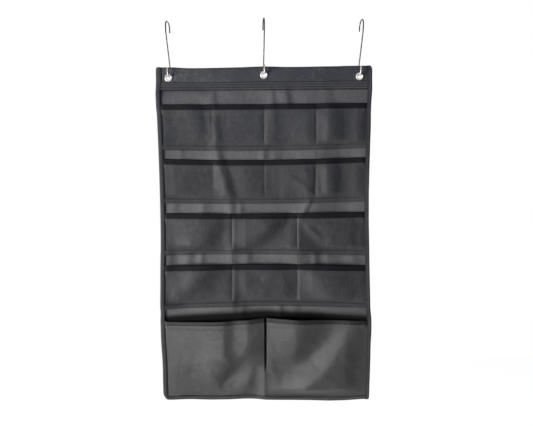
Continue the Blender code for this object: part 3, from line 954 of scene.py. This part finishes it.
def make_cloth_finish(name, colour, sizes, gloss, fold=None, lining=None):
    """Plain weave, painted darker between its threads as shade. A cloth folded over an edge gets a
    painted shade line along its fold, and one given a height of painted shadow is painted black and
    made dull below it, a little further down at its sides, as the shadow in the large pockets' mouths."""
    recipe = Recipe(bpy.data.materials.new(name))
    place, u, v = recipe.cloth_place()
    height = woven_height(u, v, sizes.weave_pitch)
    mottle = recipe.clouds(place, 0.030, 3.0)
    weft_slub = recipe.clouds(place, 0.014, 1.0, (1.0, 5.0, 1.0))
    warp_slub = recipe.clouds(place, 0.016, 1.0, (5.0, 1.0, 1.0))
    grain = recipe.clouds(place, 0.0045, 1.0)
    tone = mottle * 0.26 + weft_slub * 0.44 + warp_slub * 0.44 + grain * 0.50 + 0.18
    # Painted shade between the threads of the weave
    shade = (height * 0.34 + 0.74) * tone
    # Painted shade along the fold
    if fold:
        shade = shade * (1.0 - fold_shadow(v, fold, 0.0028) * 0.6)
    roughness = 0.42 - height * 0.06 + mottle * 0.06
    # Painted shadow: black and dull below the mouths of the large pockets
    if lining:
        lit = (v + abs(u) * 0.04).step(lining - 0.014, lining + 0.002)
        shade = shade * (lit * 0.98 + 0.02)
        roughness = roughness * lit + (1.0 - lit)
    creases = recipe.bump(recipe.clouds(place, 0.016, 3.0), 0.0007)
    return recipe.finish(
        base_color=recipe.tint(colour, shade),
        roughness=roughness,
        specular=gloss,
        normal=recipe.bump(height, 0.00022, creases),
    )


def make_net_finish(sizes, colours):
    """Open net whose knit runs darker round its holes and lighter between them where it is stretched."""
    recipe = Recipe(bpy.data.materials.new("net_finish"))
    place, u, v = recipe.cloth_place()
    turn = 2.0 * math.pi / sizes.net_pitch
    open_place = (u * turn + math.pi / 2).sine() * (v * (turn * 0.95) + math.pi / 2).sine()
    mottle = recipe.clouds(place, 0.035, 3.0)
    elsewhere = recipe.node("Mapping", {"Vector": place, "Location": (3.0, 0.0, 0.0)})
    stretched = recipe.clouds(elsewhere, 0.024, 0.0).step(0.50, 0.64)
    hole = open_place.step(0.40, 0.60)
    yarn = recipe.clouds(place, 0.020, 1.0, (7.0, 1.0, 1.0))
    course = recipe.clouds(place, 0.016, 1.0, (1.0, 6.0, 1.0))
    grain = recipe.clouds(place, 0.0036, 1.0)
    tone = mottle * 0.30 + yarn * 1.10 + course * 0.55 + grain * 0.60 - 0.28
    shade = (1.08 - open_place * (stretched * 0.45 + 0.12)) * tone
    creases = recipe.bump(recipe.clouds(place, 0.014, 3.0), 0.0012)
    return recipe.finish(
        base_color=recipe.tint(colours.net, shade),
        roughness=0.52,
        specular=0.32,
        alpha=1.0 - hole,
        normal=recipe.bump(1.0 - abs(open_place), 0.00018, creases),
    )


def make_tape_finish(name, colour, sizes, roughness=0.58, gloss=0.14, lines=()):
    """Ribbed tape: ribs across its length and a slant twill between them, painted darker in their
    hollows as shade. Each of its (place over its width, (width, darkness)) lines is a painted shade
    line along it, or a painted highlight where its darkness is negative."""
    recipe = Recipe(bpy.data.materials.new(name))
    place, u, v = recipe.cloth_place()
    turn = 2.0 * math.pi / sizes.rib_pitch
    rib = (u * turn).sine() * 0.5 + 0.5
    twill = ((u + v) * (turn / 0.6)).sine() * 0.5 + 0.5
    height = rib * 0.7 + twill * 0.3
    mottle = recipe.clouds(place, 0.012, 3.0)
    # Painted shade in the hollows of the ribs and twill
    shade = (height * 0.4 + 0.8) * (mottle * 0.6 + 0.7)
    for across, (width, darkness) in lines:
        shade = shade * (1.0 - fold_shadow(v, across, width) * darkness)
    return recipe.finish(
        base_color=recipe.tint(colour, shade),
        roughness=roughness + mottle * 0.08,
        specular=gloss,
        normal=recipe.bump(height, 0.00020, recipe.bump(mottle, 0.0006)),
    )


def make_thread_finish(name, colour):
    """Thread with the slant of its twist, painted darker in its grooves as shade, and worn lighter
    and darker along a seam.
    """
    recipe = Recipe(bpy.data.materials.new(name))
    place = recipe.object_place()
    parts = recipe.node("SeparateXYZ", {0: place}).socket.node
    slant = Shade(recipe, parts.outputs[0]) + Shade(recipe, parts.outputs[2])
    twist = (slant * (2.0 * math.pi / 0.0007)).sine() * 0.5 + 0.5
    wear = recipe.clouds(place, 0.010)
    return recipe.finish(
        base_color=recipe.tint(colour, (twist * 0.5 + 0.75) * (wear * 0.6 + 0.7)),
        roughness=0.60,
        specular=0.2,
        normal=recipe.bump(twist, 0.00008),
    )


def make_nickel_finish(colours):
    recipe = Recipe(bpy.data.materials.new("nickel_finish"))
    place = recipe.object_place()
    haze = recipe.clouds(place, 0.004, 4.0)
    scratches = recipe.clouds(recipe.object_place((1.0, 1.0, 9.0)), 0.0022, 4.0)
    return recipe.finish(
        base_color=recipe.tint(colours.nickel, haze * 0.12 + 0.94),
        metallic=0.35,
        roughness=0.30 + haze * 0.14,
        normal=recipe.bump(scratches, 0.00001),
    )


def make_wire_finish(colours):
    """Wire painted bright below the hem's top, a painted reflection, and dark above it, painted shade."""
    recipe = Recipe(bpy.data.materials.new("wire_finish"))
    place = recipe.object_place()
    height = recipe.node("SeparateXYZ", {0: place}, output="Z")
    drawn = recipe.clouds(recipe.object_place((1.0, 1.0, 0.03)), 0.0006, 3.0)
    haze = recipe.clouds(place, 0.006, 3.0)
    # Share of painted shade on the wire, from the hem's top up
    wire_shade = (height + haze * 0.004).step(TOP - 0.001, TOP + 0.005)
    tones = {"Factor": wire_shade, 6: (*colours.wire, 1.0), 7: (*colours.shaded_wire, 1.0)}
    return recipe.finish(
        base_color=recipe.node("Mix", tones, output=2, data_type="RGBA"),
        metallic=0.35,
        roughness=0.22 + drawn * 0.10 + haze * 0.05,
        normal=recipe.bump(drawn, 0.000004),
    )


def make_finishes():
    """Every finish of the organiser. Most have the name of their slot in the record, and the hem,
    the panel's two faces, the turned rims, the seams and two of the tapes have one of their own. The
    hem and the turned rims are the woven cloth painted darker as shade, the seams' thread is painted
    light as a highlight, and the panel's front and two tapes carry painted shade."""
    sizes = bpy.context.scene.organiser_sizes
    colours = bpy.context.scene.organiser_colours
    # Heights of the header tape's painted shade and highlight lines
    header_shade_lines = [(TOP - drop, look) for drop, look in HEADER_SHADE_LINES]

    def cloth(name, colour, gloss, **places):
        return make_cloth_finish(f"{name}_finish", colour, sizes, gloss, **places)

    def tape(name, colour, *look, lines=()):
        return make_tape_finish(f"{name}_finish", colour, sizes, *look, lines=lines)

    return {
        "woven_cloth": cloth("cloth", colours.cloth, 0.50),
        "mesh_net": make_net_finish(sizes, colours),
        "rim_tape": tape("rim_tape", colours.rim, 0.66, 0.10),
        "binding_tape": tape("binding_tape", colours.tape),
        "sewing_thread": make_thread_finish("thread_finish", colours.thread),
        "lower_seam_highlight": make_thread_finish("seam_thread_finish", colours.lower_seam_highlight),
        "upper_seam_highlight": make_thread_finish("faint_seam_thread_finish", colours.upper_seam_highlight),
        "nickel_plate": make_nickel_finish(colours),
        "bright_wire": make_wire_finish(colours),
        # Hem: darker and bluer as painted shade, with a painted shade line along its top fold
        "hem_cloth": cloth("hem_cloth", colours.hem, 0.50, fold=TOP - HEM_FOOT),
        # Turned rims: the woven cloth painted darker as shade
        "turned_cloth": cloth("turned_cloth", colours.turned, 0.25),
        # The panel's front carries the painted shadow in the large pockets' mouths
        "panel_cloth": cloth("panel_cloth", colours.panel, 0.30, lining=TOP - MOUTH_SHADE_DROP),
        "panel_back": cloth("panel_back", colours.panel, 0.30),
        # Edge tape with a painted shade line along its inner edge, where its step casts a shadow
        "edge_tape": tape("edge_tape", colours.edge, lines=[(0.0, (0.0014, 0.5))]),
        "header_tape": tape("header_tape", colours.tape, lines=header_shade_lines),
    }


FINISHES = {}


def dress(piece, slot, *nodes, body="panel", finish=None):
    """Puts a piece on its body in place of the frame's plain nodes, with the finish of its slot or
    one of its own."""
    piece.data.materials.clear()
    piece.data.materials.append(FINISHES[finish or slot])
    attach(piece, body)
    if nodes:
        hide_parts(*nodes)


def sew(name, lines, *layers, nodes=(), finish=None):
    """One piece with stitches along all of the (start, end, front) lines, laid over its cloth."""
    thread = joined([stitches(*line) for line in lines], name)
    drape(thread, *layers)
    dress(thread, "sewing_thread", *nodes, finish=finish)
    return thread


class ORGANISER_OT_finishes(bpy.types.Operator):
    """Mixes the finishes of cloth, net, tapes, thread and metal"""

    bl_idname = "organiser.finishes"
    bl_label = "Mix finishes"

    def execute(self, context):
        FINISHES.update(make_finishes())
        return {"FINISHED"}


class ORGANISER_OT_panel(bpy.types.Operator):
    """Cuts the back panel, and folds the top hem over it with its tape and stitching"""

    bl_idname = "organiser.panel"
    bl_label = "Sew panel and hem"

    def execute(self, context):
        cell = context.scene.organiser_sizes.cloth_cell
        heights = spread((BOTTOM + TAPE_TOP, TOP - TAPE_TOP), cell)
        panel = flat_cloth("panel_cloth", spread((-PANEL_HALF, PANEL_HALF), cell), heights, 0.0, PANEL_THICK)
        punch(panel)
        behind = [face.center.y > 0.0 for face in panel.data.polygons]
        drape(panel)
        dress(panel, "woven_cloth", "back_panel", finish="panel_cloth")
        panel.data.materials.append(FINISHES["panel_back"])
        panel.data.polygons.foreach_set("material_index", behind)

        across = spread((-SEWN_HALF, SEWN_HALF), cell)
        hem = folded_cloth("hem_cloth", across, HEM_FOOT, TOP, CLOTH_FRONT, CLOTH_THICK)
        punch(hem)
        drape(hem)
        dress(hem, "woven_cloth", "top_hem", finish="hem_cloth")

        low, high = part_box("header_tape")
        across, heights = spread((low.x, high.x), TAPE_CELL), spread((low.z, high.z), HEADER_CELL)
        tape = flat_cloth("header_ribs", across, heights, -low.y - HEADER_THICK / 2, HEADER_THICK)
        drape(tape)
        dress(tape, "binding_tape", "header_tape", finish="header_tape")
        places = np.linspace(high.z - HEADER_STITCH_IN, low.z + HEADER_STITCH_IN, 4)
        front = TAPE_FRONT - TAPE_THICK / 2
        thread = sew("hem_stitches", [((low.x, z), (high.x, z), front) for z in places])

        return {"FINISHED"}


class ORGANISER_OT_bindings(bpy.types.Operator):
    """Folds the binding tapes over the sides and the foot of the panel and stitches them down"""

    bl_idname = "organiser.bindings"
    bl_label = "Bind edges"

    def execute(self, context):
        for name, side in (("left", -1), ("right", 1)):
            x = side * (BINDING_INNER + BINDING_STITCH_IN)
            self.bind(
                name, (BOTTOM, TOP), side * BINDING_INNER, side * HALF_WIDTH,
                (x, BOTTOM + STITCH_START), (x, TOP - STITCH_START), upright=True,
            )
        inner = BINDING_INNER - GAP
        z = BINDING_TOP - BINDING_STITCH_IN
        self.bind("bottom", (-inner, inner), BINDING_TOP, BOTTOM, (-inner, z), (inner, z), upright=False)
        return {"FINISHED"}

    def bind(self, name, ends, inner_edge, outer_edge, first_stitch, last_stitch, upright):
        tape = folded_cloth(
            f"bound_edge_{name}", spread(ends, BINDING_CELL), inner_edge, outer_edge, TAPE_FRONT, TAPE_THICK,
            upright=upright,
        )
        drape(tape)
        dress(tape, "binding_tape", f"binding_{name}", finish="edge_tape")
        lines = [(first_stitch, last_stitch, face) for face in (TAPE_FACE, -TAPE_FACE)]
        thread = sew(f"bound_edge_stitches_{name}", lines)


class ORGANISER_OT_rows(bpy.types.Operator):
    """Sews the four rows of mesh pockets, with their rim tapes, foot tapes and seams"""

    bl_idname = "organiser.rows"
    bl_label = "Sew mesh rows"

    def execute(self, context):
        gapes = context.scene.organiser_sizes.row_gapes
        for row, look in enumerate(zip(gapes, ROW_FOLDS, SEAM_PUFFS), start=1):
            self.sew_row(row, *look)
        return {"FINISHED"}

    def sew_row(self, row, gape, folds, puff):
        tape_low, tape_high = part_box(f"rim_tape_row_{row}")
        foot_low, foot_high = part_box(f"foot_tape_row_{row}")
        nodes = sorted(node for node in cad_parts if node.startswith(f"stitching_row_{row}_"))
        seams = [sum(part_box(node), Vector()).x / 2 for node in nodes]
        rim = tape_high.z - TAPE_TOP
        cloth = PocketCloth(
            np.array((-BINDING_INNER, *seams, BINDING_INNER)), lambda x: np.full(len(x), rim),
            rim - tape_low.z, foot_high.z, gape, folds, puff=puff,
        )
        beside = [x + step for x in seams for step in SEAM_COLUMNS]
        across = spread((-SEWN_HALF, -BINDING_INNER, *beside, BINDING_INNER, SEWN_HALF), NET_CELL)
        heights = spread((foot_low.z, foot_high.z, rim), NET_CELL)
        net = flat_cloth(f"net_row_{row}", across, heights, CLOTH_FRONT, NET_THICK)
        drape(net, cloth)
        dress(net, "mesh_net", f"mesh_row_{row}")

        across = spread((tape_low.x, *beside, tape_high.x), TAPE_CELL)
        tape = folded_cloth(
            f"rim_row_{row}", across, tape_low.z, tape_high.z, RIM_WRAP, TAPE_THICK, front=CLOTH_FRONT
        )
        drape(tape, cloth)
        dress(tape, "rim_tape", f"rim_tape_row_{row}")

        across, heights = (spread(ends, TAPE_CELL) for ends in zip(foot_low.xz, foot_high.xz))
        foot = flat_cloth(f"foot_row_{row}", across, heights, TAPE_FRONT, TAPE_THICK)
        drape(foot)
        dress(foot, "binding_tape", f"foot_tape_row_{row}")

        places = (foot_high.z - FOOT_STITCHES_IN[0], foot_low.z + FOOT_STITCHES_IN[1])
        lines = [((foot_low.x, z), (foot_high.x, z), TAPE_FACE) for z in places]
        if row in (1, 3):
            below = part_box(f"rim_tape_row_{row + 1}")[1].z
            lines += [((x, foot_low.z), (x, below), PANEL_THICK / 2) for x in seams]
        foot_thread = sew(f"foot_stitches_row_{row}", lines)

        z = tape_low.z + RIM_STITCH_IN
        lines = [((tape_low.x, z), (tape_high.x, z), RIM_FACE)]
        lines += [((x, rim + SEAM_OVER_RIM), (x, tape_low.z), RIM_FACE) for x in seams]
        rim_thread = sew(f"rim_stitches_row_{row}", lines, cloth)
        lines = [((x, tape_low.z), (x, foot_high.z), CLOTH_FRONT + NET_THICK / 2) for x in seams]
        # Seams carry a painted highlight, fainter in rows 1 and 2
        finish = "upper_seam_highlight" if row < 3 else "lower_seam_highlight"
        thread = sew(f"seam_stitches_row_{row}", lines, cloth, nodes=nodes, finish=finish)


class ORGANISER_OT_large_pockets(bpy.types.Operator):
    """Sews the two large gaping pockets with their hemmed rims"""

    bl_idname = "organiser.large_pockets"
    bl_label = "Sew large pockets"

    def execute(self, context):
        sizes = context.scene.organiser_sizes
        self.sew_pocket("left", -1, sizes.left_gape)
        self.sew_pocket("right", 1, sizes.right_gape)
        return {"FINISHED"}

    def sew_pocket(self, name, side, gape):
        node = f"large_pocket_{name}"
        low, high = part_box(node)
        rim_low, rim_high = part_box(f"large_rim_{name}")
        seam = sum(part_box(f"stitching_large_{name}"), Vector()).x / 2
        middle = high.z
        rim_foot = middle - LARGE_RIM_HEIGHT
        foot = BINDING_TOP + GAP

        def slope(x):
            return (rim_low.z - rim_foot) * np.clip(np.abs(x) / BINDING_INNER, 0, 1)

        cloth = PocketCloth(
            np.sort((side * SLIT_SEAM, side * BINDING_INNER)), lambda x: middle + slope(x), LARGE_RIM_HEIGHT,
            foot, gape, LARGE_FOLDS[name], LARGE_MOUTHS[name], LARGE_SAGS[name],
        )
        across = spread(sorted(side * x for x in (*SLIT_COLUMNS, BINDING_INNER, SEWN_HALF)), POCKET_CELL)
        piece, lay = cloth_grid(
            f"pocket_{name}", across, spread((0.0, foot - low.z, middle - low.z), POCKET_CELL)
        )
        x, z = lay[:, 0], low.z + lay[:, 1]
        z += slope(x) * np.clip((z - foot) / (middle - foot), 0, 1)
        write_points(piece, np.column_stack((x, np.full(len(x), -CLOTH_FRONT), z)))
        thicken(piece, CLOTH_THICK)
        drape(piece, cloth)
        dress(piece, "woven_cloth", node)

        across = spread(sorted(side * x for x in (*SLIT_COLUMNS, BINDING_INNER - GAP)), TAPE_CELL)
        rim = folded_cloth(
            f"pocket_rim_{name}", across, rim_foot, middle + TAPE_TOP, RIM_WRAP, CLOTH_THICK, rim=slope,
            front=CLOTH_FRONT,
        )
        drape(rim, cloth)
        dress(rim, "woven_cloth", f"large_rim_{name}", finish="turned_cloth")

        start, end = ((x, rim_foot + RIM_STITCH_IN + slope(x)) for x in (rim_low.x, rim_high.x))
        lines = [
            (start, end, RIM_FACE),
            ((seam, foot), (seam, rim_foot), CLOTH_FRONT + CLOTH_THICK / 2),
            ((seam, rim_foot), (seam, middle), RIM_FACE),
        ]
        thread = sew(f"pocket_stitches_{name}", lines, cloth, nodes=[f"stitching_large_{name}"])


class ORGANISER_OT_eyelets(bpy.types.Operator):
    """Turns the three eyelets and the washers behind them"""

    bl_idname = "organiser.eyelets"
    bl_label = "Set eyelets"

    def execute(self, context):
        for side, centre in EYELETS.items():
            eyelet = ring(f"turned_eyelet_{side}", EYELET_PROFILE, centre)
            dress(eyelet, "nickel_plate", f"eyelet_{side}")
            washer = ring(f"turned_washer_{side}", WASHER_PROFILE, centre)
            dress(washer, "nickel_plate", f"eyelet_washer_{side}")
        return {"FINISHED"}


class ORGANISER_OT_hooks(bpy.types.Operator):
    """Bends the three wire hooks"""

    bl_idname = "organiser.hooks"
    bl_label = "Bend hooks"

    def execute(self, context):
        for side in EYELETS:
            dress(wire_hook(side), "bright_wire", f"hook_{side}", body=f"hook_{side}")
        return {"FINISHED"}


# Middle of the panel, and the lamps by the names of their powers, as (place, aim, width, height,
# colour)
MIDDLE = (0.0, 0.0, (TOP + BOTTOM) / 2)
LAMPS = {
    "key": ((-9.5, -4.4, -1.9), MIDDLE, 4.0, 4.0, (1.0, 0.985, 0.97)),
    "low": ((1.10, -1.35, -1.45), MIDDLE, 1.0, 0.8, (1.0, 1.0, 1.0)),
    "top": ((-0.2, -0.9, 0.42), (0.0, 0.0, TOP), 1.2, 0.3, (0.25, 0.45, 1.0)),
    "rear": ((0.6, 1.6, 0.3), MIDDLE, 1.4, 1.0, (1.0, 1.0, 1.0)),
}

# Camera: its place, its turn, pitch and roll in degrees, and its focal length as a share of the
# width of its picture
CAMERA_PLACE = (0.0113, -1.0595, TOP - 0.2795)
CAMERA_TURNS = ((0.404, "Z"), (90.0 - 3.454, "X"), (-0.366, "Z"))
FOCAL_SHARE = 445.0 / 533.0

# Width and depth of the floor, and width and height of the backdrop
SCREEN_SIZE = (5.0, 3.0)

# Colour of the dim room round them, which lights the object from all sides
ROOM_COLOUR = (0.05, 0.05, 0.05, 1.0)


def lamp(name, power, place, aim, width, height, colour):
    bpy.ops.object.light_add(type="AREA", location=place)
    light = named(name)
    light.data.shape = "RECTANGLE"
    light.data.size, light.data.size_y = width, height
    light.data.energy = power
    light.data.color = colour
    light.rotation_euler = (Vector(aim) - Vector(place)).to_track_quat("-Z", "Y").to_euler()


def screen(name, place, tilt, kept_shadow):
    """Floor or backdrop: white where it is seen or mirrored, with a share of the light that really
    falls on it."""
    set_aside()
    bpy.ops.mesh.primitive_plane_add(size=1.0, location=place, rotation=(tilt, 0.0, 0.0))
    sheet = named(name)
    sheet.scale = (*SCREEN_SIZE, 1.0)
    place_in_mesh(sheet)
    recipe = Recipe(bpy.data.materials.new(f"{name}_finish"))
    recipe.finish(base_color=(0.80, 0.80, 0.80, 1.0), roughness=0.9)
    lit = Shade(recipe, recipe.shader.outputs[0])
    white = recipe.node("Emission", {"Strength": 1.0 + 0.9 * kept_shadow})
    shown = recipe.node("MixShader", {0: kept_shadow, 1: white, 2: lit})
    rays = recipe.node("LightPath").socket.node.outputs
    seen, mirrored, seen_through = (
        Shade(recipe, rays[f"Is {kind} Ray"]) for kind in ("Camera", "Glossy", "Transmission")
    )
    seen = (seen + mirrored + seen_through).clamped()
    recipe.surface(recipe.node("MixShader", {0: seen, 1: lit, 2: shown}))
    sheet.data.materials.append(recipe.material)


class ORGANISER_OT_stage(bpy.types.Operator):
    """Builds the pale floor and backdrop, the lamps and the camera"""

    bl_idname = "organiser.stage"
    bl_label = "Set stage"

    def execute(self, context):
        studio = context.scene.organiser_studio
        scene = context.scene
        scene.view_settings.view_transform = "Standard"
        floor_z = BOTTOM - studio.floor_drop
        screen("floor", (0.0, 0.8, floor_z), 0.0, 0.20)
        screen("backdrop", (0.0, 2.3, floor_z + SCREEN_SIZE[1] / 2), math.pi / 2, 0.0)
        for name, settings in LAMPS.items():
            lamp(f"{name}_lamp", getattr(studio, f"{name}_power"), *settings)
        scene.world = bpy.data.worlds.new("studio")
        scene.world.use_nodes = True
        scene.world.node_tree.nodes["Background"].inputs["Color"].default_value = ROOM_COLOUR

        bpy.ops.object.camera_add()
        camera = named("camera")
        camera.data.sensor_width = 36.0
        camera.data.lens = FOCAL_SHARE * camera.data.sensor_width
        turn, pitch, roll = (Matrix.Rotation(math.radians(angle), 4, axis) for angle, axis in CAMERA_TURNS)
        camera.matrix_world = Matrix.Translation(CAMERA_PLACE) @ turn @ pitch @ roll
        scene.camera = camera
        return {"FINISHED"}


class ORGANISER_PT_panel(bpy.types.Panel):
    """Lists the sizes, colours and steps of the organiser"""

    bl_label = "Organiser"
    bl_idname = "ORGANISER_PT_panel"
    bl_space_type = "VIEW_3D"
    bl_region_type = "UI"
    bl_category = "Organiser"

    def draw(self, context):
        for pointer in GROUPS:
            group = getattr(context.scene, pointer)
            box = self.layout.box()
            for name in group.__annotations__:
                box.prop(group, name)
        for step in STEPS:
            self.layout.operator(step.bl_idname)


STEPS = (
    ORGANISER_OT_stage,
    ORGANISER_OT_finishes,
    ORGANISER_OT_panel,
    ORGANISER_OT_bindings,
    ORGANISER_OT_rows,
    ORGANISER_OT_large_pockets,
    ORGANISER_OT_eyelets,
    ORGANISER_OT_hooks,
)
GROUPS = {
    "organiser_sizes": OrganiserSizes,
    "organiser_colours": OrganiserColours,
    "organiser_studio": OrganiserStudio,
}
CLASSES = (*GROUPS.values(), *STEPS, ORGANISER_PT_panel)


def register():
    for cls in CLASSES:
        bpy.utils.register_class(cls)
    for pointer, group in GROUPS.items():
        setattr(bpy.types.Scene, pointer, PointerProperty(type=group))


def unregister():
    for pointer in GROUPS:
        delattr(bpy.types.Scene, pointer)
    for cls in reversed(CLASSES):
        bpy.utils.unregister_class(cls)


def main():
    register()
    bpy.ops.organiser.stage()
    bpy.ops.organiser.finishes()
    bpy.ops.organiser.panel()
    bpy.ops.organiser.bindings()
    bpy.ops.organiser.rows()
    bpy.ops.organiser.large_pockets()
    bpy.ops.organiser.eyelets()
    bpy.ops.organiser.hooks()


if __name__ == "__main__":
    main()
